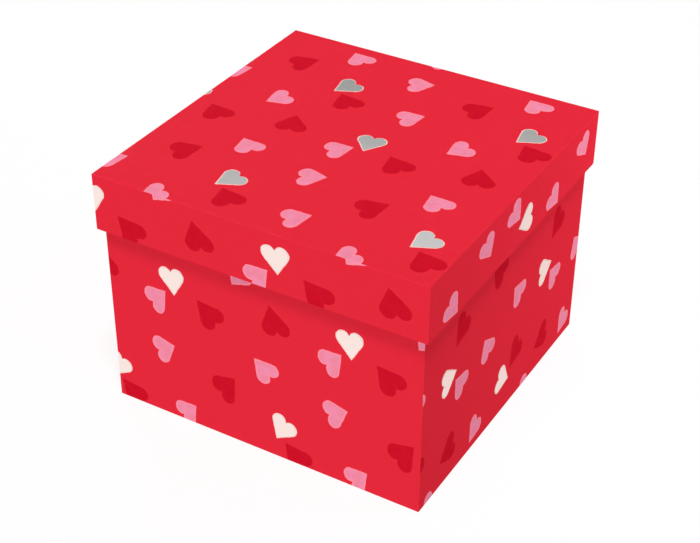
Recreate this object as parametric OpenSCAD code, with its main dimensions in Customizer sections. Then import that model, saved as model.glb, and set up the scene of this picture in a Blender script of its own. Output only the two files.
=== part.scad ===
// Square gift box with a lift-off lid: board trays with taped corners, a printed wrap that turns
// in over the rims, white lining paper and stamped foil hearts.
// Millimetres. The origin is on the table under the box's centre, +Z is up, the front faces -Y.

/* [Box] */
// Outside width of the base, left to right
base_w = 164.5; // [100:0.5:260]
// Outside depth of the base, front to back
base_d = 164.5; // [100:0.5:260]
// Height of the base's rim above the table
base_h = 123; // [60:0.5:200]
// Outside depth of the lid, top to lower edge
lid_h = 29; // [22:0.5:50]
// Running gap between the base and the lid, on each side
fit_gap = 0.65; // [0.3:0.05:2]

/* [Board and paper] */
// Thickness of the grey board
board_t = 1.5; // [0.8:0.1:3]
// Thickness of the printed wrap with its glue
wrap_t = 0.3; // [0.2:0.02:0.5]
// Thickness of the gummed tape round each upright corner
stay_t = 0.15; // [0.08:0.01:0.18]
// Reach of the corner tape along each wall
stay_leg = 18; // [8:1:40]
// Thickness of the white lining paper
liner_t = 0.2; // [0.1:0.02:0.4]
// Thickness of the sheet on the underside
foot_t = 0.2; // [0.1:0.02:0.5]

/* [Turned edges] */
// How far the base's wrap reaches down inside its rim
base_turn = 18; // [6:1:40]
// How far the lid's wrap reaches up inside its rim
lid_turn = 16; // [6:1:18]
// How far the base's wrap reaches in under the floor
floor_turn = 15; // [8:1:30]
// Margin left between the underside sheet and the base's edge
foot_margin = 4; // [2:0.5:7]

/* [Foil hearts] */
// Thickness of the foil film
foil_t = 0.06; // [0.02:0.01:0.2]
// Radius of a heart's two lobes
lobe_r = 3.4; // [3.25:0.05:5]
// Distance of each lobe's centre from the heart's middle line
lobe_x = 3.2; // [2:0.05:3.35]
// Height of the lobes' centres above the heart's own centre
lobe_y = 1.6; // [1:0.1:4]
// Distance of the heart's tip below the lobes' centres
tip_drop = 9.7; // [8:0.1:15]
// Direction of the first heart's tip on the sheet
first_tip = -84; // [-180:1:180]
// Direction of the second heart's tip on the sheet
second_tip = -117; // [-180:1:180]
// Place of the second heart across the sheet, from the first
second_u = -36.4; // [-48:0.1:-20]
// Place of the second heart along the sheet, from the first
second_v = 42.2; // [20:0.1:50]

/* [Print] */
// Repeat of the print across the sheet
repeat_u = 97.4; // [60:0.1:140]
// Repeat of the print along the sheet
repeat_v = 101.5; // [60:0.1:140]
// Place of the first heart across the lid's sheet, from its middle
lid_print_u = 7.1; // [-50:0.1:50]
// Place of the first heart along the lid's sheet, from its middle
lid_print_v = 3.2; // [-50:0.1:50]
// Slip of the print along the fold of the lid's front wall
lid_front_slip_across = 4.3; // [0:0.1:8]
// Slip of the print up the lid's front wall, into the fold
lid_front_slip_up = 2.2; // [0:0.1:5]
// Slip of the print along the fold of the lid's right wall
lid_right_slip_across = 4.9; // [0:0.1:8]
// Slip of the print up the lid's right wall, into the fold
lid_right_slip_up = 0.9; // [0:0.1:5]
// Place of the first heart across the base's sheet, from its middle
base_print_u = -48.8; // [-60:0.1:60]
// Place of the first heart along the base's sheet, from its middle
base_print_v = 58.4; // [-60:0.1:60]
// Stretch of the base's print along its front and back walls
base_print_cross = 0.955; // [0.9:0.005:1.1]
// Stretch of the base's print along its side walls
base_print_side = 0.98; // [0.9:0.005:1.1]
// Stretch of the base's print up its walls
base_print_up = 1.04; // [0.9:0.01:1.2]
// Slip of the print along the base's right wall
base_right_slip_across = -2.2; // [-12:0.1:12]
// Slip of the print up the base's right wall
base_right_slip_up = -7.9; // [-12:0.1:12]

/* [Hidden] */

// Walls and corners are counted round the box: 0 front, 1 right, 2 back, 3 left
FRONT = 0;
RIGHT = 1;
BACK = 2;
LEFT = 3;

// Outside sizes: width, depth and height
base_size = [base_w, base_d, base_h - foot_t];
lid_wall = wrap_t + board_t + wrap_t;
lid_size = [base_w + 2 * (fit_gap + lid_wall), base_d + 2 * (fit_gap + lid_wall), lid_h];
total_h = base_h + liner_t + board_t + wrap_t;

// Foil hearts in one repeat of the print: place from the first heart, and the tip's direction
foil_marks = [[0, 0, first_tip], [second_u, second_v, second_tip]];
lid_print = [lid_print_u, lid_print_v];
base_print = [base_print_u, base_print_v];
lid_slips = [
    [lid_front_slip_across, lid_front_slip_up], [lid_right_slip_across, lid_right_slip_up], [0, 0], [0, 0]
];
base_slips = [[0, 0], [base_right_slip_across, base_right_slip_up], [0, 0], [0, 0]];

// How the sheet is turned on each wall, seen from outside: the lid's sheet lies on its top and
// folds down, and the base's lies under its floor and folds up
LID_TURNS = [0, -90, 180, 90];
BASE_TURNS = [0, 90, 180, -90];

// Share of a heart's length by which its centre may lie off a face and still leave a piece there
EDGE_SHARE = 0.4;
ARC_STEPS = 18;
// Overshoot of a cut past the face that it opens
CUT = 1;

BOARD = "#8f8b84";
TAPE = "#b98f5f";
RED_PRINT = "#e52a3c";
LINING = "#f4f1ec";
FOIL = "#c3c7c5";

// Shared shapes

// A block centred on the Z axis, from z up
module block(size, z = 0) {
    translate([-size.x / 2, -size.y / 2, z]) cube(size);
}

// Four walls of thickness t inside the outline of size, from z up
module ring(size, t, z = 0) {
    difference() {
        block(size, z);
        block([size.x - 2 * t, size.y - 2 * t, size.z + 2 * CUT], z - CUT);
    }
}

// Everything of the lid is drawn as a tray that opens upwards, and turned over
module turned_over() {
    translate([0, 0, total_h]) mirror([0, 0, 1]) children();
}

module stood_on_foot() {
    translate([0, 0, foot_t]) children();
}

// A tray that opens upwards: size is its outside over the wrap, with its underside at 0

function tray_plan(size, inset) = [size.x - 2 * inset, size.y - 2 * inset];

function wall_is_cross(wall) = wall == FRONT || wall == BACK;

module floor_board(size) {
    plan = tray_plan(size, wrap_t);
    color(BOARD) block([plan.x, plan.y, board_t], wrap_t);
}

// Front and back boards run the full width, and the side boards stand between them
module wall_board(size, wall) {
    plan = tray_plan(size, wrap_t);
    run = wall_is_cross(wall) ? plan.x : plan.y - 2 * board_t;
    foot = wrap_t + board_t;
    color(BOARD)
        rotate([0, 0, 90 * wall])
        translate([-run / 2, -half_out(plan, wall), foot])
        cube([run, board_t, size.z - wrap_t - foot]);
}

// Tape folded round the upright corner at the right-hand end of a wall
module corner_stay(size, corner) {
    plan = tray_plan(size, wrap_t);
    half = wall_is_cross(corner) ? plan / 2 : [plan.y, plan.x] / 2;
    tall = size.z - 2 * wrap_t;
    color(TAPE)
        rotate([0, 0, 90 * corner])
        translate([half.x, -half.y, wrap_t])
        difference() {
            translate([-stay_leg, -stay_t, 0]) cube([stay_leg + stay_t, stay_leg + stay_t, tall]);
            translate([-stay_leg - CUT, 0, -CUT]) cube([stay_leg + CUT, stay_leg + CUT, tall + 2 * CUT]);
        }
}

// One sheet over the floor and up the walls, folded over the rim and turned down inside it
module folded_wrap(size, turn) {
    plan = tray_plan(size, wrap_t);
    mouth = tray_plan(size, lid_wall);
    color(RED_PRINT) difference() {
        block(size);
        block([plan.x, plan.y, size.z - wrap_t - turn], wrap_t);
        ring([plan.x, plan.y, size.z - 2 * wrap_t], board_t, wrap_t);
        block([mouth.x, mouth.y, size.z], wrap_t);
        for (corner = [FRONT : LEFT]) corner_stay(size, corner);
    }
}

// Lining paper on the floor, between the wall boards
module floor_sheet(size) {
    plan = tray_plan(size, wrap_t + board_t);
    block([plan.x, plan.y, liner_t], wrap_t + board_t);
}

// Lining paper up the walls, as far as the edge of the turned-in wrap
module wall_sheet(size, turn) {
    plan = tray_plan(size, wrap_t + board_t);
    foot = wrap_t + board_t + liner_t;
    ring([plan.x, plan.y, size.z - turn - foot], liner_t, foot);
}

// Foil hearts

// Outline of a heart with its tip down: two lobes and straight flanks that touch them
function lobe_arc() =
    let (reach = norm([lobe_x, tip_drop]),
         flank = atan2(-tip_drop, -lobe_x) + acos(lobe_r / reach),
         notch = 180 - acos(lobe_x / lobe_r))
    [for (i = [0 : ARC_STEPS])
        let (angle = flank + (notch - flank) * i / ARC_STEPS)
        [lobe_x + lobe_r * cos(angle), lobe_y + lobe_r * sin(angle)]];

function heart_outline() =
    let (right = lobe_arc())
    concat([[0, lobe_y - tip_drop]], right, [for (i = [ARC_STEPS - 1 : -1 : 0]) [-right[i].x, right[i].y]]);

function turned(p, angle) = [p.x * cos(angle) - p.y * sin(angle), p.x * sin(angle) + p.y * cos(angle)];

function stretched(p, stretch) = [p.x * stretch.x, p.y * stretch.y];

// Every copy of the foil hearts that reaches a face: its centre there and the direction of its tip
function hearts_on(low, high, mark, turn, stretch) =
    let (edge = EDGE_SHARE * (lobe_r + tip_drop),
         many = ceil(norm(high - low) / min(repeat_u, repeat_v)) + 1)
    [for (heart = foil_marks, i = [-many : many], j = [-many : many])
        let (step = [heart.x + i * repeat_u, heart.y + j * repeat_v],
             at = mark + stretched(turned(step, turn), stretch))
        if (at.x > low.x - edge && at.x < high.x + edge && at.y > low.y - edge && at.y < high.y + edge)
        [at.x, at.y, heart.z + turn]];

// The foil on one face, drawn in the face's own plane and cut off at its edges
module face_foil(low, high, mark, turn, stretch = [1, 1]) {
    tip_down = 90;
    color(FOIL) intersection() {
        translate([low.x, low.y, 0]) cube([high.x - low.x, high.y - low.y, foil_t]);
        for (heart = hearts_on(low, high, mark, turn, stretch))
            translate([heart.x, heart.y, 0])
            linear_extrude(foil_t)
            polygon([for (p = heart_outline()) stretched(turned(p, heart.z + tip_down), stretch)]);
    }
}

// Stands a drawing of a wall's face up against that wall
module on_wall(size, wall) {
    rotate([0, 0, 90 * wall]) translate([0, -half_out(size, wall), 0]) rotate([90, 0, 0]) children();
}

function half_run(size, wall) = wall_is_cross(wall) ? size.x / 2 : size.y / 2;

function half_out(size, wall) = wall_is_cross(wall) ? size.y / 2 : size.x / 2;

// Where the print's first heart would lie on a wall: across from its middle, and up from the lid's
// top edge or from the table. The face shows the copies of it that reach the wall.
function lid_mark(wall) =
    turned(lid_print, LID_TURNS[wall]) + [0, half_out(lid_size, wall)] + lid_slips[wall];

// Stretch of the print along and up a wall of the base
function base_stretch(wall) = [wall_is_cross(wall) ? base_print_cross : base_print_side, base_print_up];

function base_mark(wall) =
    stretched(turned(base_print, BASE_TURNS[wall]) - [0, half_out(base_size, wall)], base_stretch(wall))
    + base_slips[wall];

// Base

module base_floor_board() stood_on_foot() floor_board(base_size);

module base_board(wall) stood_on_foot() wall_board(base_size, wall);

module base_stay(corner) stood_on_foot() corner_stay(base_size, corner);

// The base's wrap is open under the floor, inside its turned-under edge
module base_wrap() {
    window = tray_plan(base_size, floor_turn);
    color(RED_PRINT) stood_on_foot() difference() {
        folded_wrap(base_size, base_turn);
        block([window.x, window.y, wrap_t + 2 * CUT], -CUT);
    }
}

module base_underside_sheet() {
    plan = tray_plan(base_size, foot_margin);
    color(RED_PRINT) block([plan.x, plan.y, foot_t]);
}

module base_floor_liner() color(LINING) stood_on_foot() floor_sheet(base_size);

module base_wall_liner() color(LINING) stood_on_foot() wall_sheet(base_size, base_turn);

module base_foil_hearts() {
    for (wall = [FRONT : LEFT]) {
        half = half_run(base_size, wall);
        stretch = base_stretch(wall);
        on_wall(base_size, wall)
            face_foil([-half, foot_t], [half, base_h], base_mark(wall), BASE_TURNS[wall], stretch);
    }
}

// Lid

module lid_top_board() turned_over() floor_board(lid_size);

module lid_board(wall) turned_over() wall_board(lid_size, wall);

module lid_stay(corner) turned_over() corner_stay(lid_size, corner);

module lid_wrap() turned_over() folded_wrap(lid_size, lid_turn);

module lid_liner() color(LINING) turned_over() {
    floor_sheet(lid_size);
    wall_sheet(lid_size, lid_turn);
}

module lid_foil_hearts() {
    corner = tray_plan(lid_size, 0) / 2;
    translate([0, 0, total_h]) face_foil(-corner, corner, lid_print, 0);
    for (wall = [FRONT : LEFT]) {
        half = half_run(lid_size, wall);
        on_wall(lid_size, wall)
            translate([0, total_h, 0])
            face_foil([-half, -lid_h], [half, 0], lid_mark(wall), LID_TURNS[wall]);
    }
}

base_floor_board();
base_board(FRONT);  // base_front_board
base_board(RIGHT);  // base_right_board
base_board(BACK);  // base_back_board
base_board(LEFT);  // base_left_board
base_stay(FRONT);  // base_front_right_stay
base_stay(RIGHT);  // base_back_right_stay
base_stay(BACK);  // base_back_left_stay
base_stay(LEFT);  // base_front_left_stay
base_wrap();
base_underside_sheet();
base_floor_liner();
base_wall_liner();
base_foil_hearts();
lid_top_board();
lid_board(FRONT);  // lid_front_board
lid_board(RIGHT);  // lid_right_board
lid_board(BACK);  // lid_back_board
lid_board(LEFT);  // lid_left_board
lid_stay(FRONT);  // lid_front_right_stay
lid_stay(RIGHT);  // lid_back_right_stay
lid_stay(BACK);  // lid_back_left_stay
lid_stay(LEFT);  // lid_front_left_stay
lid_wrap();
lid_liner();
lid_foil_hearts();
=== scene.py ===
"""Looks of a square gift box with a lift-off lid: printed wraps, stamped foil hearts, white linings.

Everything is in metres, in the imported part's own frame. The print's sheet is laid out in millimetres.
The walls are counted from the front to the right: front, right, back, left.
"""
from collections import namedtuple
from functools import reduce
from math import acos, asin, atan, atan2, ceil, cos, hypot, pi, radians, sin, sqrt, tau

import bmesh
import bpy
from mathutils import Matrix, Vector


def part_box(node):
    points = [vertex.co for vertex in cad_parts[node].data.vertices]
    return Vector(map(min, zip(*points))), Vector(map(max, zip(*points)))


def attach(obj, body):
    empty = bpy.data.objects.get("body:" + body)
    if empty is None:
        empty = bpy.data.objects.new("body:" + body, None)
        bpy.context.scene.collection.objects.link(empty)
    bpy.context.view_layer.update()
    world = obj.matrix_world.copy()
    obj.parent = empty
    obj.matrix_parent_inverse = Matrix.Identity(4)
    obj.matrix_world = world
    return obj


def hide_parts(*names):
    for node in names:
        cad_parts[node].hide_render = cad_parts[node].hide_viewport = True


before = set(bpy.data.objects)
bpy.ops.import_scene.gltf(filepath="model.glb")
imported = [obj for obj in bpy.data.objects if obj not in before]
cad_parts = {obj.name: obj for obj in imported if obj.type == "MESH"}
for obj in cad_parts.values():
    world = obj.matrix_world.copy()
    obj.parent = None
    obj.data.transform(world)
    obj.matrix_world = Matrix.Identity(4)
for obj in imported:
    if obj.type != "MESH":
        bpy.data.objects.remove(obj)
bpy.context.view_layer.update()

MM = 0.001
WALLS = range(4)

# The box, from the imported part
lid_low, lid_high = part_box("lid_wrap")
base_low, base_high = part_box("base_wrap")
board_low, board_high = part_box("lid_front_board")
lid_liner_low, lid_liner_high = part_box("lid_liner")
wall_liner_low, wall_liner_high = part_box("base_wall_liner")
floor_liner_low, floor_liner_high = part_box("base_floor_liner")
foot_low, foot_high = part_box("base_underside_sheet")
foil_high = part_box("lid_foil_hearts")[1]

# Thicknesses of the board, the room for the wrap, a wrapped wall, the lining, the foil and the foot
BOARD = board_high.y - board_low.y
WRAP = board_low.y - lid_low.y
WALL = WRAP + BOARD + WRAP
LINER = floor_liner_high.z - floor_liner_low.z
FOIL = foil_high.z - lid_high.z
FOOT = foot_high.z - foot_low.z

# The wrap's paper: its thickness, the radius and steps of its folds, and its turn under the base
PAPER = 0.25 * MM
FOLD = 0.18 * MM
FOLD_STEPS = 4
FLOOR_TURN = 15 * MM

# The linings: their lap over the wrap's turned edge, the slope up to it, their rounded corners, and the
# floor sheet's ease at the walls; the cut corners of a loose sheet
LAP = 4 * MM
LAP_SLOPE = 1.5 * MM
CORNER_EASE = 1.2 * MM
FLOOR_EASE = 0.3 * MM
CUT_CORNER = 1.5 * MM

# A sharper turn than this is a fold, in radians; a face whose normal has a larger part is flat; how far
# a new ring of edges stands off while it is joined on
FOLD_ANGLE = 0.1
FLAT_NORMAL = 0.999
STAND_OFF = 100 * MM

# The side of its modelled face on which a piece has its thickness
BEHIND = -1
PROUD = 1

# A tray as its wrap sees it: half its outside width, the heights of its floor and rim, its turned edge
Tray = namedtuple("Tray", "half floor rim turn")
LID = Tray(lid_high.x, lid_high.z, lid_low.z, lid_liner_low.z - lid_low.z)
BASE = Tray(base_high.x, base_low.z, base_high.z, base_high.z - wall_liner_high.z)

# One repeat of the print in millimetres: the hearts' centres from the first foil heart's, and the
# directions of their tips in degrees
REPEAT = (97.4, 101.5)
PINK_HEARTS = (
    (-45.9, 69.7, 141), (-7.9, 60.7, 29), (4.1, 28.7, 45), (38.7, 15, -122), (-9.9, -13.8, 45),
)
DARK_HEARTS = ((28, 51.7, 51), (-28.6, 27.2, 138), (-39.9, -4.8, 108), (21, -12.8, 140))
FOIL_HEARTS = ((0, 0, -84), (-36.4, 42.2, -117))

# A heart: radius of its lobes, their distance from its middle line, their height and the tip's drop
# below them, and the slope by which its left lobe is drawn up and its right one down
Heart = namedtuple("Heart", "lobe spread rise drop lean")
PINK_HEART = Heart(3.7, 3.45, 1.7, 9.6, 0.09)
DARK_HEART = Heart(4, 3.7, 1.95, 11.3, 0.09)
CREAM_HEART = Heart(3.8, 3.45, 1.6, 10.55, 0)
FOIL_HEART = Heart(3.4, 3.2, 1.6, 9.7, 0)

# The print's edges in millimetres: how soft ink and foil end, how far hand-cut outlines wander, the
# foil's cream rim and the pink hearts' bright one
INK_EDGE = 0.08
FOIL_EDGE = 0.05
HAND_CUT = 0.5
FOIL_RIM = 0.5
PINK_RIM_ENDS = (0.45, 1.1)

# Cut foil: the steps round a lobe, the reach of a heart in millimetres, the distance at which points are
# one, and the smallest piece that is kept where a fold cuts a heart
LOBE_STEPS = 18
HEART_REACH = 9
WELD = 0.01 * MM
SLIVER = 2 * MM ** 2

# How the print lies on the trays in millimetres: the first foil heart's place from the tray's middle and,
# for each wall seen from outside, the sheet's turn, its slip at the fold and its stretch across and up
NO_SLIP = Vector((0, 0))
NO_STRETCH = Vector((1, 1))
LID_PRINT = Vector((7.1, 3.2))
LID_TURNS = (0, -90, 180, 90)
LID_SLIPS = (Vector((4.3, 2.2)), Vector((4.9, 0.9)), NO_SLIP, NO_SLIP)
BASE_PRINT = Vector((-48.8, 58.4))
BASE_TURNS = (0, 90, 180, -90)
BASE_SLIPS = (NO_SLIP, Vector((-2.2, -7.9)), NO_SLIP, NO_SLIP)
BASE_STRETCHES = (Vector((0.955, 1.04)), Vector((0.98, 1.04))) * 2

# The photograph's camera, fitted to the box's straight edges: its place, the directions of its view in
# degrees, its lens and the width of its picture in millimetres
EYE = Vector((0.3133, -0.5392, 0.4796))
EYE_AZIMUTH = 30.3
EYE_ELEVATION = 34.4
EYE_ROLL = 0.35
LENS = 80.2
PICTURE_WIDTH = 36


# Colours

def srgb(red, green, blue):
    """A colour as it shows on a screen, from 0 to 255, in linear light."""
    shares = [value / 255 for value in (red, green, blue)]
    return (*(s / 12.92 if s <= 0.04045 else ((s + 0.055) / 1.055) ** 2.4 for s in shares), 1)


RED = srgb(230, 43, 61)
RED_DEEP = srgb(228, 40, 58)
RED_RUBBED = srgb(240, 120, 130)
RED_FOOT = srgb(214, 34, 52)
DARK_RED = srgb(208, 19, 41)
DARK_RED_DEEP = srgb(205, 16, 38)
PINK = srgb(243, 145, 177)
PINK_DEEP = srgb(241, 135, 159)
PINK_RIM = srgb(255, 145, 164)
CREAM = srgb(255, 213, 205)
SILVER = srgb(252, 234, 227)
SILVER_DEEP = srgb(247, 228, 221)
PAPER_WHITE = srgb(249, 248, 245)
PAPER_SHADE = srgb(241, 239, 235)
BOARD_GREY = srgb(146, 141, 133)
BOARD_DARK = srgb(112, 107, 100)
BOARD_FLECK = srgb(70, 66, 62)
KRAFT = srgb(187, 146, 98)
KRAFT_DARK = srgb(160, 119, 76)
WHITE = (1, 1, 1, 1)

# The spans of noise that are drawn out over a whole range, softly and more crisply
SOFT_SPAN = (0.3, 0.7)
CRISP_SPAN = (0.35, 0.65)

# Roughness from the smoothest to the roughest fibres, how far that goes either way on plain paper, and
# how much smoother the foil at a fold is than the ink
WRAP_ROUGHNESS = (0.46, 0.58)
FOIL_ROUGHNESS = (0.1, 0.18)
BOARD_ROUGHNESS = (0.82, 0.94)
PAPER_UNEVEN = 0.08
FOIL_SMOOTHER = 0.32

# How places are squeezed so that fibres lie long in two ways, and the pace of the clouds beside theirs
FIBRE_WAYS = ((1, 0.35, 0.6), (0.4, 1, 0.9))
CLOUD_PACE = 0.04

# How high the fibres stand
WRAP_RELIEF = 0.012 * MM
PAPER_RELIEF = 0.03 * MM
FOIL_RELIEF = 0.01 * MM
BOARD_RELIEF = 0.06 * MM

# Worn folds and flecks in the board: the noise at which they start and are full, and how strong they get
RUB_SPAN = (0.45, 0.75)
RUB_MOST = 0.1
FLECK_SPAN = (0.66, 0.72)
FLECK_MOST = 0.6

# The floor in linear light: as lamps light it, how much it glows in the picture, as mirrors see it in
# the open and in a painted shade beside the box, from where to where across that changes, and half its
# width
FLOOR_GREY = (0.25, 0.25, 0.25, 1)
FLOOR_GLOW = 0.75
FLOOR_MIRRORED = (1, 0.985, 0.985, 1)
FLOOR_PAINTED_SHADE = (0.9, 0.82, 0.815, 1)
FLOOR_SHADE_ENDS = (0.03, 0.1)
FLOOR_HALF = 6

# The studio: its even light, and what mirrors see of it at the horizon and, by height, in cool greys
AMBIENT = 0.14
HORIZON = (0.85, 0.9, 0.9, 1)
SKY_GREYS = ((0.2, 0.55), (0.42, 0.26), (0.47, 0.33), (0.56, 0.66), (0.75, 0.85))
COOL_GREEN = 1.18
COOL_BLUE = 1.25


# Node helpers

def place(tree, kind, wires=(), **settings):
    """Adds a node, sets it up and wires its inputs to sockets or plain values."""
    node = tree.nodes.new("ShaderNode" + kind)
    for name, value in settings.items():
        setattr(node, name, value)
    for key, value in dict(wires).items():
        if isinstance(value, bpy.types.NodeSocket):
            tree.links.new(value, node.inputs[key])
        else:
            node.inputs[key].default_value = value
    return node


def maths(tree, operation, *values):
    """One operation on plain values."""
    return place(tree, "Math", enumerate(values), operation=operation).outputs[0]


def vectors(tree, operation, *values):
    """One operation on vectors; distances and dot products come out as plain values."""
    node = place(tree, "VectorMath", enumerate(values), operation=operation)
    return node.outputs["Value" if operation in ("DISTANCE", "DOT_PRODUCT") else "Vector"]


def mixed(tree, first, second, share):
    """A value made of a share of the first and the rest of the second."""
    part = maths(tree, "MULTIPLY", first, share)
    rest = maths(tree, "MULTIPLY", second, 1 - share)
    return maths(tree, "ADD", part, rest)


def ramp(tree, value, low, high, to_low=0, to_high=1):
    """Value carried smoothly from the range low to high onto another range."""
    wires = enumerate((value, low, high, to_low, to_high))
    return place(tree, "MapRange", wires, interpolation_type="SMOOTHSTEP").outputs[0]


def tint(tree, amount, first, second):
    """A colour between first and second."""
    return place(tree, "Mix", {0: amount, 6: first, 7: second}, data_type="RGBA").outputs[2]


def noise(tree, where, scale, detail=2, roughness=0.5, distortion=0, output="Fac", **settings):
    """Soft patches, about scale of them to one unit of the place."""
    wires = {
        "Vector": where, "Scale": scale, "Detail": detail,
        "Roughness": roughness, "Distortion": distortion,
    }
    return place(tree, "TexNoise", wires, **settings).outputs[output]


def new_group(name, takes, gives):
    """A node group with its named inputs and outputs."""
    group = bpy.data.node_groups.new(name, "ShaderNodeTree")
    for label, kind in takes:
        group.interface.new_socket(label, in_out="INPUT", socket_type="NodeSocket" + kind)
    for label, kind in gives:
        group.interface.new_socket(label, in_out="OUTPUT", socket_type="NodeSocket" + kind)
    given = group.nodes.new("NodeGroupInput").outputs
    wanted = group.nodes.new("NodeGroupOutput").inputs
    return group, given, wanted


# The print

def flank_angle(heart):
    """The angle between a heart's middle line and its straight flanks, which touch the lobes."""
    return asin(heart.lobe / hypot(heart.spread, heart.drop)) + atan(heart.spread / heart.drop)


def heart_stamp_group(name, heart):
    """How deep inside a heart of the repeating print a point of the sheet lies, in millimetres."""
    takes = [("Sheet", "Vector"), ("Centre", "Vector"), ("Tip", "Float")]
    group, given, wanted = new_group(name, takes, [("Depth", "Float")])
    lobe_at = (heart.spread, heart.rise, 0)
    tip_at = (0, heart.rise - heart.drop, 0)
    notch_y = heart.rise + sqrt(heart.lobe ** 2 - heart.spread ** 2)
    flank = flank_angle(heart)
    half = (REPEAT[0] / 2, REPEAT[1] / 2, 1)

    step = vectors(group, "SUBTRACT", given["Sheet"], given["Centre"])
    step = vectors(group, "WRAP", step, half, tuple(-value for value in half))
    turn = maths(group, "SUBTRACT", -pi / 2, given["Tip"])
    wires = {"Vector": step, "Angle": turn}
    upright = place(group, "VectorRotate", wires, rotation_type="Z_AXIS").outputs[0]
    parts = place(group, "SeparateXYZ", {0: upright}).outputs
    height = maths(group, "MULTIPLY_ADD", parts[0], heart.lean, parts[1])
    folded = place(group, "CombineXYZ", {0: maths(group, "ABSOLUTE", parts[0]), 1: height}).outputs[0]

    lobe = maths(group, "SUBTRACT", heart.lobe, vectors(group, "DISTANCE", folded, lobe_at))
    off_tip = vectors(group, "SUBTRACT", folded, tip_at)
    inside_flank = vectors(group, "DOT_PRODUCT", off_tip, (-cos(flank), sin(flank), 0))
    off_lobe = vectors(group, "SUBTRACT", lobe_at, folded)
    below_lobe = vectors(group, "DOT_PRODUCT", off_lobe, (sin(flank), cos(flank), 0))
    below_notch = maths(group, "SUBTRACT", notch_y, height)
    body = maths(group, "MINIMUM", inside_flank, maths(group, "MINIMUM", below_lobe, below_notch))
    group.links.new(maths(group, "MAXIMUM", lobe, body), wanted["Depth"])
    return group


def heart_print_group():
    """The printed sheet: its ink and where it carries foil."""
    gives = [("Ink", "Color"), ("Foil", "Float")]
    group, given, wanted = new_group("heart_print", [("Sheet", "Vector")], gives)
    sheet = given["Sheet"]
    wander = noise(group, sheet, scale=0.45, output="Color", noise_dimensions="2D")
    hand_cut = vectors(group, "MULTIPLY_ADD", wander, (HAND_CUT, HAND_CUT, 0), sheet)
    hand_cut = vectors(group, "SUBTRACT", hand_cut, (HAND_CUT / 2, HAND_CUT / 2, 0))

    def depth_in(hearts, name, heart):
        """The depth in whichever of these hearts a point lies deepest."""
        stamp = heart_stamp_group(name, heart)
        depths = []
        for across, along, tip in hearts:
            wires = {"Sheet": hand_cut, "Centre": (across, along, 0), "Tip": radians(tip)}
            depths.append(place(group, "Group", wires, node_tree=stamp).outputs["Depth"])
        return reduce(lambda deepest, depth: maths(group, "MAXIMUM", deepest, depth), depths)

    pink_depth = depth_in(PINK_HEARTS, "pink_heart", PINK_HEART)
    dark_depth = depth_in(DARK_HEARTS, "dark_heart", DARK_HEART)
    foil_depth = depth_in(FOIL_HEARTS, "cream_heart", CREAM_HEART)

    cloud = noise(group, sheet, scale=0.25, detail=4, distortion=0.3, noise_dimensions="2D")
    speck = noise(group, sheet, scale=3.5, detail=3, noise_dimensions="2D")
    dark = tint(group, ramp(group, cloud, *CRISP_SPAN), DARK_RED, DARK_RED_DEEP)
    wash = ramp(group, mixed(group, cloud, speck, share=0.7), *CRISP_SPAN)
    pink = tint(group, wash, PINK_DEEP, PINK)
    pink = tint(group, ramp(group, pink_depth, *PINK_RIM_ENDS), PINK_RIM, pink)
    ink = tint(group, cloud, RED, RED_DEEP)
    for depth, colour in ((dark_depth, dark), (pink_depth, pink), (foil_depth, CREAM)):
        ink = tint(group, ramp(group, depth, -INK_EDGE, INK_EDGE), ink, colour)
    foil = ramp(group, foil_depth, FOIL_RIM - FOIL_EDGE, FOIL_RIM + FOIL_EDGE)
    group.links.new(tint(group, foil, ink, SILVER), wanted["Ink"])
    group.links.new(foil, wanted["Foil"])
    return group


# The grain that papers and boards share

def paper_grain_group():
    """Fibres that lie both ways and the slow cloudiness of a sheet of paper or board."""
    takes = [("Position", "Vector"), ("Grain", "Float")]
    group, given, wanted = new_group("paper_grain", takes, [("Fibre", "Float"), ("Cloud", "Float")])
    ways = []
    for squeeze in FIBRE_WAYS:
        laid = vectors(group, "MULTIPLY", given["Position"], squeeze)
        ways.append(noise(group, laid, given["Grain"], detail=3, roughness=0.6, distortion=1.5))
    slow = maths(group, "MULTIPLY", given["Grain"], CLOUD_PACE)
    group.links.new(mixed(group, *ways, share=0.5), wanted["Fibre"])
    group.links.new(noise(group, given["Position"], slow, detail=3), wanted["Cloud"])
    return group


HEART_PRINT = heart_print_group()
PAPER_GRAIN = paper_grain_group()


# Materials

def new_material(name, **plain):
    """A material with its shader, and the plain values set on the shader's own sockets."""
    material = bpy.data.materials.new(name)
    material.use_nodes = True
    tree = material.node_tree
    shader = tree.nodes["Principled BSDF"]
    for label, value in plain.items():
        shader.inputs[label.replace("_", " ")].default_value = value
    return material, tree, shader


def feed(tree, shader, **changing):
    """Wires what changes over the surface to the shader's sockets."""
    for label, value in changing.items():
        tree.links.new(value, shader.inputs[label.replace("_", " ")])


def grain_on(tree, grain):
    """Fibre and cloud of a paper whose fibres are about 1 / grain metres across."""
    position = place(tree, "TexCoord").outputs["Object"]
    wires = {"Position": position, "Grain": grain}
    outputs = place(tree, "Group", wires, node_tree=PAPER_GRAIN).outputs
    return outputs["Fibre"], outputs["Cloud"]


def relief(tree, shader, height, depth, strength=1.0):
    """Raises the surface by height times depth metres."""
    bump = place(tree, "Bump", {"Height": height, "Distance": depth, "Strength": strength})
    feed(tree, shader, Normal=bump.outputs[0])


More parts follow.
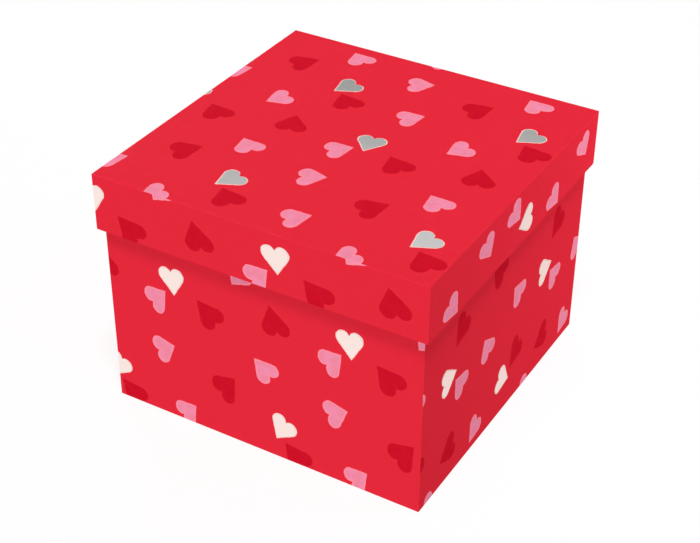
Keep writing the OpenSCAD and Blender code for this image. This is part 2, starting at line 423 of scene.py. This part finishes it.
def printed_wrap():
    """Matt printed paper: inks, foil where a fold carries it, and slightly worn folds."""
    material, tree, shader = new_material("printed_wrap", Specular_IOR_Level=0.002)
    sheet = place(tree, "UVMap", uv_map="print").outputs[0]
    sheet_print = place(tree, "Group", {"Sheet": sheet}, node_tree=HEART_PRINT).outputs
    fibre, cloud = grain_on(tree, grain=2600)
    fold = place(tree, "Attribute", attribute_name="fold").outputs["Fac"]
    rubbed = maths(tree, "MULTIPLY", fold, ramp(tree, cloud, *RUB_SPAN, 0, RUB_MOST))
    worn = tint(tree, rubbed, sheet_print["Ink"], RED_RUBBED)
    matt = ramp(tree, fibre, *SOFT_SPAN, *WRAP_ROUGHNESS)
    bright = maths(tree, "MULTIPLY", sheet_print["Foil"], -FOIL_SMOOTHER)
    roughness = maths(tree, "ADD", matt, bright)
    feed(tree, shader, Base_Color=worn, Metallic=sheet_print["Foil"], Roughness=roughness)
    relief(tree, shader, fibre, WRAP_RELIEF)
    return material


def plain_paper(name, light, shade, grain, roughness):
    """Uncoated paper with visible fibres."""
    material, tree, shader = new_material(name, Specular_IOR_Level=0.25)
    fibre, cloud = grain_on(tree, grain)
    mottle = ramp(tree, mixed(tree, fibre, cloud, share=0.7), *CRISP_SPAN)
    uneven = ramp(tree, fibre, *SOFT_SPAN, roughness - PAPER_UNEVEN, roughness + PAPER_UNEVEN)
    feed(tree, shader, Base_Color=tint(tree, mottle, shade, light), Roughness=uneven)
    relief(tree, shader, fibre, PAPER_RELIEF)
    return material


def stamped_foil():
    """Bright foil, faintly rippled by the paper under it."""
    material, tree, shader = new_material("silver_foil", Metallic=1.0)
    fibre, cloud = grain_on(tree, grain=1500)
    colour = tint(tree, cloud, SILVER, SILVER_DEEP)
    feed(tree, shader, Base_Color=colour, Roughness=ramp(tree, fibre, *SOFT_SPAN, *FOIL_ROUGHNESS))
    relief(tree, shader, fibre, FOIL_RELIEF, strength=0.6)
    return material


def grey_board():
    """Recycled board: grey pulp with darker flecks."""
    material, tree, shader = new_material("grey_board", Specular_IOR_Level=0.2)
    fibre, cloud = grain_on(tree, grain=1400)
    pulp = tint(tree, ramp(tree, fibre, *CRISP_SPAN), BOARD_DARK, BOARD_GREY)
    position = place(tree, "TexCoord").outputs["Object"]
    flecks = ramp(tree, noise(tree, position, scale=900), *FLECK_SPAN, 0, FLECK_MOST)
    colour = tint(tree, flecks, pulp, BOARD_FLECK)
    feed(tree, shader, Base_Color=colour, Roughness=ramp(tree, cloud, *SOFT_SPAN, *BOARD_ROUGHNESS))
    relief(tree, shader, fibre, BOARD_RELIEF)
    return material


PRINTED = printed_wrap()
PAPER_BACK = plain_paper("wrap_back", PAPER_WHITE, PAPER_SHADE, grain=2200, roughness=0.8)
LINING = plain_paper("lining_paper", PAPER_WHITE, PAPER_SHADE, grain=1600, roughness=0.82)
UNDERSIDE = plain_paper("underside_paper", RED, RED_FOOT, grain=1600, roughness=0.75)
TAPE = plain_paper("corner_tape", KRAFT, KRAFT_DARK, grain=1200, roughness=0.7)
GREY = grey_board()
SHINY = stamped_foil()


# Modelling helpers

def shift(x, y, z):
    """A plain move."""
    return Matrix.Translation((x, y, z))


def shrink(half, new_half):
    """Draws a ring of that half width in to another one."""
    return Matrix.Diagonal((new_half / half, new_half / half, 1, 1))


def square_sheet(half, height):
    """One flat square, facing up, that a paper piece starts from."""
    bm = bmesh.new()
    bmesh.ops.create_grid(bm, x_segments=1, y_segments=1, size=half, matrix=shift(0, 0, height))
    return bm


def carried_on(bm, ring, move):
    """Copies a ring of edges, joins the copy to the ring, moves it by a matrix and gives it.

    The copy stands off while it is joined, because level rings would be joined crosswise. An extrusion
    would order its faces differently on each run, and with them the rounding of the corners.
    """
    copied = bmesh.ops.duplicate(bm, geom=ring)["geom"]
    verts = [item for item in copied if isinstance(item, bmesh.types.BMVert)]
    edges = [item for item in copied if isinstance(item, bmesh.types.BMEdge)]
    off = shift(0, 0, STAND_OFF)
    bmesh.ops.transform(bm, matrix=off, verts=verts)
    bmesh.ops.bridge_loops(bm, edges=ring + edges)
    bmesh.ops.transform(bm, matrix=move @ off.inverted(), verts=verts)
    return edges


def rounded_folds(bm, radius):
    """Rounds every fold, and marks the points of the rounded strips."""
    inner = [edge for edge in bm.edges if len(edge.link_faces) == 2]
    folds = [edge for edge in inner if edge.calc_face_angle() > FOLD_ANGLE]
    bmesh.ops.bevel(
        bm, geom=folds, offset=radius, offset_type="OFFSET", affect="EDGES",
        segments=FOLD_STEPS, profile=0.5, material=-1, clamp_overlap=True,
    )
    mark = bm.verts.layers.float.new("fold")
    bm.normal_update()
    for vert in bm.verts:
        normals = [face.normal for face in vert.link_faces]
        flat = any(max(abs(part) for part in normal) > FLAT_NORMAL for normal in normals)
        vert[mark] = 0.0 if flat else 1.0


def face_outwards(bm, outwards=True):
    """Turns an open shell's faces to the outside, or to the inside."""
    bmesh.ops.recalc_face_normals(bm, faces=bm.faces)
    outer = max(bm.faces, key=lambda face: face.calc_center_median().x)
    if (outer.normal.x > 0) != outwards:
        bmesh.ops.reverse_faces(bm, faces=bm.faces)


def add_piece(name, bm, materials, thickness, body, replaces, side=BEHIND, even=True):
    """Makes a paper piece of a bmesh, gives it its thickness and lets it ride on its body.

    A second material is the paper's back and cut edge; even keeps the thickness even round folds.
    """
    mesh = bpy.data.meshes.new(name)
    bm.to_mesh(mesh)
    bm.free()
    mesh.shade_smooth()
    for material in materials:
        mesh.materials.append(material)
    piece = bpy.data.objects.new(name, mesh)
    bpy.context.scene.collection.objects.link(piece)
    paper = piece.modifiers.new("paper", "SOLIDIFY")
    paper.thickness = thickness
    paper.offset = side
    paper.use_even_offset = even
    paper.material_offset = len(materials) - 1
    paper.material_offset_rim = len(materials) - 1
    piece.modifiers.new("flat_faces", "WEIGHTED_NORMAL")
    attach(piece, body)
    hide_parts(replaces)


# Where the print lies

def turned(point, degrees):
    """A point of the sheet, turned about the sheet's origin."""
    angle = radians(degrees)
    x = point.x * cos(angle) - point.y * sin(angle)
    y = point.x * sin(angle) + point.y * cos(angle)
    return Vector((x, y))


def lid_wall_print(wall):
    """On a wall of the lid, down from its top edge: the first heart's place, the turn, the stretch."""
    mark = turned(LID_PRINT, LID_TURNS[wall]) + Vector((0, LID.half / MM))
    return mark + LID_SLIPS[wall], LID_TURNS[wall], NO_STRETCH


def base_wall_print(wall):
    """The same on a wall of the base, up from the table."""
    stretch = BASE_STRETCHES[wall]
    mark = (turned(BASE_PRINT, BASE_TURNS[wall]) - Vector((0, BASE.half / MM))) * stretch
    return mark + BASE_SLIPS[wall], BASE_TURNS[wall], stretch


def wall_facing(way):
    """The wall that looks in a level direction."""
    return round(atan2(way.x, -way.y) / (tau / 4)) % 4


def sheet_zone(tray, face):
    """The part of the folded sheet that a face belongs to, and its wall."""
    centre = face.calc_center_median()
    if abs(face.normal.z) > sqrt(0.5):
        on_floor = abs(centre.z - tray.floor) < abs(centre.z - tray.rim)
        return ("floor" if on_floor else "rim"), wall_facing(centre)
    outside = face.normal.x * centre.x + face.normal.y * centre.y > 0
    return ("wall", wall_facing(face.normal)) if outside else ("inside", wall_facing(-face.normal))


def sheet_run(tray, zone, wall, point):
    """How far a point lies across its wall and along the sheet from the floor's edge, in millimetres."""
    level = Matrix.Rotation(-wall * tau / 4, 3, "Z") @ point
    out = -level.y
    climbed = abs(point.z - tray.floor)
    height = abs(tray.rim - tray.floor)
    along = {
        "floor": out - tray.half,
        "wall": climbed,
        "rim": height + tray.half - out,
        "inside": 2 * height + WALL - climbed,
    }[zone]
    return level.x / MM, along / MM


def on_sheet(place_there, mark, turn, stretch):
    """A place on a face as a place on the print's sheet."""
    step = place_there - mark
    return turned(Vector((step.x / stretch.x, step.y / stretch.y)), -turn)


def lid_sheet(zone, wall, point):
    """A point of the lid's wrap as a place on the sheet."""
    if zone == "floor":
        return Vector((point.x, point.y)) / MM - LID_PRINT
    across, along = sheet_run(LID, zone, wall, point)
    return on_sheet(Vector((across, -along)), *lid_wall_print(wall))


def base_sheet(zone, wall, point):
    """A point of the base's wrap as a place on the sheet."""
    across, along = sheet_run(BASE, zone, wall, point)
    return on_sheet(Vector((across, along + BASE.floor / MM)), *base_wall_print(wall))


def lay_print(bm, tray, lay):
    """Lays the print's sheet on a wrap, where lay gives the place of each point on the sheet."""
    sheet = bm.loops.layers.uv.new("print")
    for face in bm.faces:
        zone, wall = sheet_zone(tray, face)
        for loop in face.loops:
            loop[sheet].uv = lay(zone, wall, loop.vert.co)


# Wraps

def folded_skin(tray, turn_under=None):
    """The outer skin of a tray: over its floor, along its walls, round the rim and back inside.

    With turn_under, the floor is open but for a strip of that width.
    """
    bm = square_sheet(tray.half, tray.floor)
    floor = bm.faces[:]
    ring = bm.edges[:]
    back_inside = -tray.turn if tray.rim > tray.floor else tray.turn
    ring = carried_on(bm, ring, shift(0, 0, tray.rim - tray.floor))
    ring = carried_on(bm, ring, shrink(tray.half, tray.half - WALL))
    carried_on(bm, ring, shift(0, 0, back_inside))
    if turn_under:
        bmesh.ops.inset_region(bm, faces=floor, thickness=turn_under)
        bmesh.ops.delete(bm, geom=floor, context="FACES")
    face_outwards(bm)
    rounded_folds(bm, FOLD)
    return bm


def lid_wrap():
    """The printed paper over the lid's top and skirts."""
    bm = folded_skin(LID)
    lay_print(bm, LID, lid_sheet)
    add_piece(
        "lid_printed_wrap", bm, (PRINTED, PAPER_BACK), PAPER,
        body="lid", replaces="lid_wrap",
    )


def base_wrap():
    """The printed paper round the base's walls, turned under its floor."""
    bm = folded_skin(BASE, FLOOR_TURN)
    lay_print(bm, BASE, base_sheet)
    add_piece(
        "base_printed_wrap", bm, (PRINTED, PAPER_BACK), PAPER,
        body="base", replaces="base_wrap",
    )


# Foil hearts

def foil_blank():
    """One flat foil heart, tip down, as a mesh."""
    bm = bmesh.new()
    heart = Heart(*(size * MM for size in FOIL_HEART[:-1]), FOIL_HEART.lean)
    start = -flank_angle(heart)
    stop = pi - acos(heart.spread / heart.lobe)
    lobe_at = Vector((heart.spread, heart.rise, 0))
    first = bm.verts.new(lobe_at + heart.lobe * Vector((cos(start), sin(start), 0)))
    bmesh.ops.spin(
        bm, geom=[first], cent=lobe_at, axis=(0, 0, 1), dvec=(0, 0, 0),
        angle=stop - start, steps=LOBE_STEPS, use_merge=False,
    )
    tip = bm.verts.new((0, heart.rise - heart.drop, 0))
    bm.edges.new((tip, first))
    outline = bm.verts[:] + bm.edges[:]
    bmesh.ops.mirror(bm, geom=outline, matrix=Matrix(), merge_dist=WELD, axis="X")
    bmesh.ops.remove_doubles(bm, verts=bm.verts, dist=WELD)
    bmesh.ops.contextual_create(bm, geom=bm.edges)
    bm.normal_update()
    if bm.faces[:][0].normal.z < 0:
        bmesh.ops.reverse_faces(bm, faces=bm.faces)
    mesh = bpy.data.meshes.new("foil_blank")
    bm.to_mesh(mesh)
    bm.free()
    return mesh


FOIL_BLANK = foil_blank()


def hearts_on(low, high, mark, turn, stretch):
    """Every foil heart that reaches a face: its centre there in millimetres and its tip's direction."""
    many = ceil((high - low).length / min(REPEAT)) + 1
    for across, along, tip in FOIL_HEARTS:
        for i in range(-many, many + 1):
            for j in range(-many, many + 1):
                step = turned(Vector((across + i * REPEAT[0], along + j * REPEAT[1])), turn)
                centre = mark + step * stretch
                inside = (low.x - HEART_REACH < centre.x < high.x + HEART_REACH
                          and low.y - HEART_REACH < centre.y < high.y + HEART_REACH)
                if inside:
                    yield centre, tip + turn


def stamp_face(bm, low, high, print_there, stand):
    """Stamps the foil hearts of one face, trims them at its folds and stands the face in place."""
    mark, turn, stretch = print_there
    stamped = bmesh.new()
    for centre, tip in hearts_on(low, high, mark, turn, stretch):
        known = set(stamped.verts)
        stamped.from_mesh(FOIL_BLANK)
        fresh = [vert for vert in stamped.verts if vert not in known]
        there = shift(*(centre * MM), 0) @ Matrix.Diagonal((*stretch, 1, 1))
        to_tip = Matrix.Rotation(radians(tip + 90), 4, "Z")
        bmesh.ops.transform(stamped, matrix=there @ to_tip, verts=fresh)
    for edge, away in ((low, -1), (high, 1)):
        for axis in (Vector((away, 0, 0)), Vector((0, away, 0))):
            geom = stamped.verts[:] + stamped.edges[:] + stamped.faces[:]
            cut_at = Vector((*edge, 0)) * MM - axis * FOLD
            bmesh.ops.bisect_plane(stamped, geom=geom, plane_co=cut_at, plane_no=axis, clear_outer=True)
    slivers = [face for face in stamped.faces if face.calc_area() < SLIVER]
    bmesh.ops.delete(stamped, geom=slivers, context="FACES")
    bmesh.ops.transform(stamped, matrix=stand, verts=stamped.verts)
    trimmed = bpy.data.meshes.new("stamped_face")
    stamped.to_mesh(trimmed)
    stamped.free()
    bm.from_mesh(trimmed)
    bpy.data.meshes.remove(trimmed)


def on_wall(half, wall, height):
    """Stands a flat face up against a wall, with the face's origin at that height."""
    upright = Matrix.Rotation(tau / 4, 4, "X")
    return Matrix.Rotation(wall * tau / 4, 4, "Z") @ shift(0, -half, height) @ upright


def lid_foil():
    """The hearts stamped on the lid's top and walls."""
    bm = bmesh.new()
    half = LID.half / MM
    depth = (LID.floor - LID.rim) / MM
    corner = Vector((half, half))
    stamp_face(bm, -corner, corner, (LID_PRINT, 0, NO_STRETCH), shift(0, 0, LID.floor))
    for wall in WALLS:
        stand = on_wall(LID.half, wall, LID.floor)
        stamp_face(bm, Vector((-half, -depth)), Vector((half, 0)), lid_wall_print(wall), stand)
    add_piece(
        "lid_foil", bm, (SHINY,), FOIL, side=PROUD, even=False,
        body="lid", replaces="lid_foil_hearts",
    )


def base_foil():
    """The hearts stamped on the base's walls."""
    bm = bmesh.new()
    half = BASE.half / MM
    low = Vector((-half, BASE.floor / MM))
    high = Vector((half, BASE.rim / MM))
    for wall in WALLS:
        stamp_face(bm, low, high, base_wall_print(wall), on_wall(BASE.half, wall, 0))
    add_piece(
        "base_foil", bm, (SHINY,), FOIL, side=PROUD, even=False,
        body="base", replaces="base_foil_hearts",
    )


# Linings and the sheet underneath

def lining_wall(bm, ring, half, reach):
    """Carries lining paper along the walls and over the edge of the turned-in wrap."""
    way = 1 if reach > 0 else -1
    lapped = half - (WRAP - LINER) - LINER
    ring = carried_on(bm, ring, shift(0, 0, reach - way * LAP_SLOPE))
    ring = carried_on(bm, ring, shift(0, 0, way * LAP_SLOPE) @ shrink(half, lapped))
    carried_on(bm, ring, shift(0, 0, way * LAP))


def lid_lining():
    """White paper over the lid's ceiling and down its walls."""
    half = lid_liner_high.x - LINER
    ceiling = lid_liner_high.z - LINER
    bm = square_sheet(half, ceiling)
    lining_wall(bm, bm.edges[:], half, lid_liner_low.z - ceiling)
    face_outwards(bm, False)
    rounded_folds(bm, CORNER_EASE)
    add_piece(
        "lid_lining", bm, (LINING,), LINER, even=False,
        body="lid", replaces="lid_liner",
    )


def base_wall_lining():
    """White paper up the base's walls."""
    half = wall_liner_high.x - LINER
    bm = square_sheet(half, wall_liner_low.z)
    floor = bm.faces[:]
    lining_wall(bm, bm.edges[:], half, wall_liner_high.z - wall_liner_low.z)
    bmesh.ops.delete(bm, geom=floor, context="FACES_ONLY")
    face_outwards(bm, False)
    rounded_folds(bm, CORNER_EASE)
    add_piece(
        "base_wall_lining", bm, (LINING,), LINER, even=False,
        body="base", replaces="base_wall_liner",
    )


def loose_sheet(half, height):
    """A flat square sheet with softly cut corners, facing up."""
    bm = square_sheet(half, height)
    bmesh.ops.bevel(
        bm, geom=bm.verts[:], offset=CUT_CORNER, offset_type="OFFSET", affect="VERTICES",
        segments=FOLD_STEPS, profile=0.5, material=-1,
    )
    return bm


def base_floor_lining():
    """The white sheet on the base's floor."""
    bm = loose_sheet(floor_liner_high.x - FLOOR_EASE, floor_liner_high.z)
    add_piece(
        "base_floor_lining", bm, (LINING,), LINER,
        body="base", replaces="base_floor_liner",
    )


def underside():
    """The plain red sheet that the box stands on."""
    bm = loose_sheet(foot_high.x, foot_low.z)
    bmesh.ops.reverse_faces(bm, faces=bm.faces)
    add_piece(
        "base_underside", bm, (UNDERSIDE,), FOOT,
        body="base", replaces="base_underside_sheet",
    )


# Boards and corner tape

def dress_boards():
    """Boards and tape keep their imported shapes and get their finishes."""
    finishes = {"board": GREY, "stay": TAPE}
    for name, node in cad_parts.items():
        kind = name.split("_")[-1]
        if kind in finishes:
            node.data.materials.clear()
            node.data.materials.append(finishes[kind])


# Stage

def white_floor():
    """A white floor that fades into the background and keeps the box's shadow.

    Mirrors see it a little darker and warmer on the right, a painted shade where the box shades it.
    From below, it isn't seen.
    """
    material = bpy.data.materials.new("white_floor")
    material.use_nodes = True
    material.cycles.emission_sampling = "NONE"
    tree = material.node_tree
    tree.nodes.clear()
    ray = place(tree, "LightPath").outputs
    in_mirror = maths(tree, "MAXIMUM", ray["Is Glossy Ray"], ray["Is Transmission Ray"])
    lit = place(tree, "BsdfDiffuse", {"Color": FLOOR_GREY}).outputs[0]
    glow = place(tree, "Emission", {"Strength": FLOOR_GLOW}).outputs[0]
    across = place(tree, "SeparateXYZ", {0: place(tree, "TexCoord").outputs["Object"]}).outputs[0]
    # Painted shade: what mirrors see of the floor turns darker and warmer to the right, beside the box
    painted_shade = ramp(tree, across, *FLOOR_SHADE_ENDS)
    colour = tint(tree, painted_shade, FLOOR_MIRRORED, FLOOR_PAINTED_SHADE)
    mirrored = place(tree, "Emission", {"Color": colour}).outputs[0]
    shown = place(tree, "AddShader", {0: lit, 1: glow}).outputs[0]
    above = place(tree, "MixShader", {0: ray["Is Camera Ray"], 1: lit, 2: shown}).outputs[0]
    above = place(tree, "MixShader", {0: in_mirror, 1: above, 2: mirrored}).outputs[0]
    below = place(tree, "BsdfTransparent").outputs[0]
    side = place(tree, "NewGeometry").outputs["Backfacing"]
    both = place(tree, "MixShader", {0: side, 1: above, 2: below}).outputs[0]
    place(tree, "OutputMaterial", {"Surface": both})

    bm = square_sheet(FLOOR_HALF, 0)
    mesh = bpy.data.meshes.new("floor")
    bm.to_mesh(mesh)
    bm.free()
    mesh.materials.append(material)
    floor = bpy.data.objects.new("floor", mesh)
    bpy.context.scene.collection.objects.link(floor)


def studio_world():
    """Even light all round on white; mirrors see a studio with a dark band low round it."""
    world = bpy.data.worlds.new("studio")
    bpy.context.scene.world = world
    world.use_nodes = True
    tree = world.node_tree
    tree.nodes.clear()
    ray = place(tree, "LightPath").outputs
    height = place(tree, "SeparateXYZ", {0: place(tree, "TexCoord").outputs["Generated"]}).outputs[2]
    sky = place(tree, "ValToRGB", {0: height})
    stops = sky.color_ramp.elements
    stops[0].color = HORIZON
    stops[1].color = WHITE
    for position, grey in SKY_GREYS:
        stops.new(position).color = (grey, grey * COOL_GREEN, grey * COOL_BLUE, 1)
    ambient = place(tree, "Background", {"Color": WHITE, "Strength": AMBIENT}).outputs[0]
    mirrored = place(tree, "Background", {"Color": sky.outputs[0]}).outputs[0]
    white = place(tree, "Background", {"Color": WHITE}).outputs[0]
    lit = place(tree, "MixShader", {0: ray["Is Glossy Ray"], 1: ambient, 2: mirrored}).outputs[0]
    seen = maths(tree, "MAXIMUM", ray["Is Camera Ray"], ray["Is Transmission Ray"])
    shown = place(tree, "MixShader", {0: seen, 1: lit, 2: white}).outputs[0]
    place(tree, "OutputWorld", {"Surface": shown})


def direction(azimuth, elevation):
    """The way to a lamp or the camera: degrees round from the front to the right, and up from level."""
    level = cos(radians(elevation))
    x = level * sin(radians(azimuth))
    y = -level * cos(radians(azimuth))
    return Vector((x, y, sin(radians(elevation))))


def hang_lamp(lamp, at, target=(0, 0, 0)):
    """Hangs a lamp that neither the picture nor a mirror shows."""
    light = bpy.data.objects.new(lamp.name, lamp)
    light.location = at
    light.rotation_euler = (Vector(target) - Vector(at)).to_track_quat("-Z", "Y").to_euler()
    light.visible_camera = False
    light.visible_glossy = False
    bpy.context.scene.collection.objects.link(light)
    return light


def far_light(name, azimuth, elevation, spread, strength):
    """A wide lamp so far off that it lights the box evenly."""
    lamp = bpy.data.lights.new(name, "SUN")
    lamp.angle = radians(spread)
    lamp.energy = strength
    return hang_lamp(lamp, direction(azimuth, elevation))


def near_light(name, at, target, size, watts):
    """A lamp close by, whose light falls off along the wall beside it."""
    lamp = bpy.data.lights.new(name, "AREA")
    lamp.shape = "SQUARE"
    lamp.size = size
    lamp.energy = watts
    return hang_lamp(lamp, at, target)


def table_light(strength):
    """A lamp under the table, for faces that only a view from below shows."""
    lamp = bpy.data.lights.new("table_light", "SUN")
    lamp.energy = strength
    lamp.use_shadow = False
    return hang_lamp(lamp, (0, 0, -1))


def light_only(light, *names):
    """Keeps a lamp's light to the named pieces."""
    lit = bpy.data.collections.new(light.name + "_lit")
    for name in names:
        lit.objects.link(bpy.data.objects[name])
    light.light_linking.receiver_collection = lit


def studio_lamps():
    """Soft light on every side; the lid's rim shades the walls of the base.

    The right walls grow lighter to the far end, where the lid's wall is as light as its top.
    """
    far_light("key", azimuth=34, elevation=71, spread=15, strength=2.33)
    far_light("front_fill", azimuth=-8, elevation=7, spread=20, strength=1.96)
    far_light("right_fill", azimuth=84, elevation=3, spread=20, strength=0.88)
    far_light("back_fill", azimuth=226, elevation=3, spread=20, strength=1.75)
    back_lid = far_light("back_lid_fill", azimuth=226, elevation=3, spread=20, strength=0.6)
    light_only(back_lid, "lid_printed_wrap")
    back_base = far_light("back_base_fill", azimuth=226, elevation=45, spread=15, strength=0.85)
    light_only(back_base, "base_printed_wrap")
    near_light("right_glow", at=(0.5, 0.34, 0.12), target=(0.085, 0.04, 0.08), size=0.3, watts=1.3)
    far_end = (0.085, 0.07, 0.11)
    lid_glow = near_light("lid_glow", at=(0.22, 0.18, 0.11), target=far_end, size=0.02, watts=0.027)
    light_only(lid_glow, "lid_printed_wrap")
    light_only(table_light(strength=1.6), "base_underside", "base_printed_wrap", "lid_lining")


def camera():
    """The photograph's view."""
    azimuth, roll = radians(EYE_AZIMUTH), radians(EYE_ROLL)
    back = direction(EYE_AZIMUTH, EYE_ELEVATION)
    level = Vector((cos(azimuth), sin(azimuth), 0))
    upward = back.cross(level)
    right = cos(roll) * level + sin(roll) * upward
    top = cos(roll) * upward - sin(roll) * level
    lens = bpy.data.cameras.new("camera")
    lens.sensor_fit = "HORIZONTAL"
    lens.sensor_width = PICTURE_WIDTH
    lens.lens = LENS
    eye = bpy.data.objects.new("camera", lens)
    eye.matrix_world = Matrix.Translation(EYE) @ Matrix((right, top, back)).transposed().to_4x4()
    bpy.context.scene.collection.objects.link(eye)
    bpy.context.scene.camera = eye


camera()
lid_wrap()
base_wrap()
lid_foil()
base_foil()
lid_lining()
base_wall_lining()
base_floor_lining()
underside()
dress_boards()
white_floor()
studio_world()
studio_lamps()
bpy.context.scene.view_settings.view_transform = "Standard"
